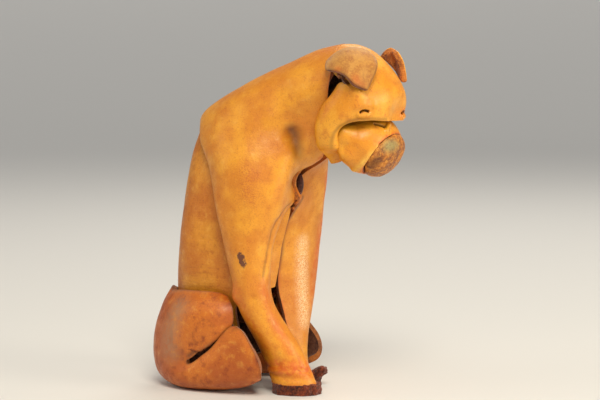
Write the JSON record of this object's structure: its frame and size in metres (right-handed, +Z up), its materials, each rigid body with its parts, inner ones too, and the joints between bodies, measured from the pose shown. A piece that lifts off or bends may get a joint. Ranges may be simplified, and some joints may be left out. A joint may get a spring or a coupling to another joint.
{
  "type": "dog figurine",
  "caption": "Sitting boxer-like dog with a hanging head, folded and moulded from thick tan leather skins, with hollow body and feet.",
  "frame": {"origin": "on the surface the figure stands on, under the middle of its length and width", "axes": "+X the way the dog looks, +Y towards its left side, +Z up"},
  "size_m": [0.091, 0.0514, 0.12],
  "materials": {
    "body_leather": "satin",
    "back_leather": "satin",
    "strip_leather": "satin",
    "dark_leather": "satin",
    "haunch_leather": "satin",
    "haunch_leather_left": "satin",
    "head_leather": "satin",
    "muzzle_leather": "satin",
    "nose_leather": "satin",
    "ear_leather": "satin",
    "ear_leather_left": "satin",
    "pad_suede": "satin",
    "pad_suede_left": "satin"
  },
  "bodies": {
    "root": {"body_skin": "body_leather", "back_panel": "back_leather", "chest_strip": "strip_leather", "throat_bung": "dark_leather", "hind_leg_right": "haunch_leather", "hind_leg_left": "haunch_leather_left", "head_skin": "head_leather", "muzzle_skin": "muzzle_leather", "nose_pad": "nose_leather", "ear_right": "ear_leather", "ear_left": "ear_leather_left", "paw_pad_right": "pad_suede", "paw_pad_left": "pad_suede_left"}
  },
  "joints": []
}
